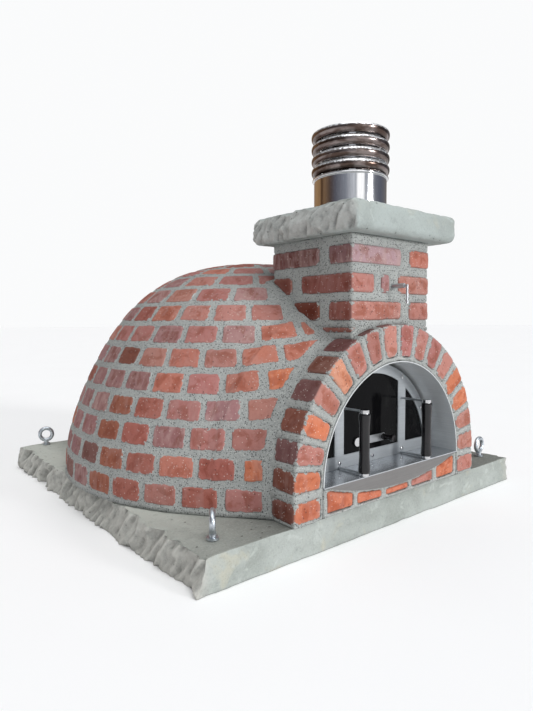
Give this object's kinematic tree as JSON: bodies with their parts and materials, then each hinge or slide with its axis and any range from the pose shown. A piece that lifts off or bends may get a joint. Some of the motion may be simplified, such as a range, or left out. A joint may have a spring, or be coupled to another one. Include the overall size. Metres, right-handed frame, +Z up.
{
  "type": "wood fired pizza oven",
  "caption": "Domed brick pizza oven on a cast concrete slab, with an arched brick front, glazed lift-out steel door, brick chimney stack with concrete cap, flue, cowl and damper.",
  "frame": {"origin": "centre of the concrete slab's underside", "axes": "+Z up, the mouth and door face -Y, +X to the right when looking at the mouth"},
  "size_m": [1.018, 1.0345, 0.852],
  "materials": {
    "brick": "rough fired clay",
    "mortar": "rough grey mortar",
    "concrete": "cast, with rock faced sides",
    "refractory": "dense firebrick",
    "insulation": "ceramic fibre",
    "stainless": "brushed",
    "polished_stainless": "polished",
    "dark_glass": "smoked ceramic glass",
    "black_lacquer": "gloss black",
    "galvanised": "galvanised"
  },
  "bodies": {
    "oven": {"arch_bricks": "brick", "arch_core": "mortar", "arch_mortar": "mortar", "base_slab": "concrete", "chimney_body": "mortar", "chimney_bricks": "brick", "chimney_cap": "concrete", "cowl_cap": "polished_stainless", "cowl_collar": "polished_stainless", "cowl_louvres": "polished_stainless", "cowl_posts": "polished_stainless", "damper_sleeve": "stainless", "dome_bricks_course_01": "brick", "dome_bricks_course_02": "brick", "dome_bricks_course_03": "brick", "dome_bricks_course_04": "brick", "dome_bricks_course_05": "brick", "dome_bricks_course_06": "brick", "dome_bricks_course_07": "brick", "dome_bricks_course_08": "brick", "dome_bricks_course_09": "brick", "dome_bricks_course_10": "brick", "dome_bricks_course_11": "brick", "dome_bricks_course_12": "brick", "dome_bricks_course_13": "brick", "dome_crown_brick": "brick", "dome_mortar": "mortar", "floor_insulation_board": "insulation", "flue_pipe": "polished_stainless", "front_sill_plate": "stainless", "hearth_tiles": "refractory", "insulation_blanket": "insulation", "lifting_eyes": "galvanised", "outer_shell": "concrete", "refractory_dome": "refractory", "sill_bricks": "brick", "threshold_block": "mortar", "throat_arch": "refractory", "vestibule_floor": "stainless", "vestibule_liner": "stainless"},
    "door": {"door_front_frame": "stainless", "door_rear_frame": "stainless", "door_glass": "dark_glass", "door_screws": "stainless", "handle_rod_left": "stainless", "handle_rod_right": "stainless", "handle_grip_left": "black_lacquer", "handle_grip_right": "black_lacquer", "grip_end_caps": "stainless", "vent_pivot": "stainless"},
    "vent": {"vent_lever": "stainless", "vent_knob": "black_lacquer"},
    "damper": {"damper_rod": "stainless", "damper_plate": "stainless"}
  },
  "joints": [
    {"name": "door_pull_out", "type": "slide", "parent": "oven", "child": "door", "axis": [0, -1, 0], "range_m": [0, 0.25]},
    {"name": "vent_swing", "type": "hinge", "parent": "door", "child": "vent", "pos_m": [-0.05, -0.43675, 0.173], "axis": [0, -1, 0], "range_deg": [0, 90]},
    {"name": "damper_turn", "type": "hinge", "parent": "oven", "child": "damper", "pos_m": [0, -0.369, 0.509], "axis": [0, -1, 0], "range_deg": [0, 90]}
  ]
}
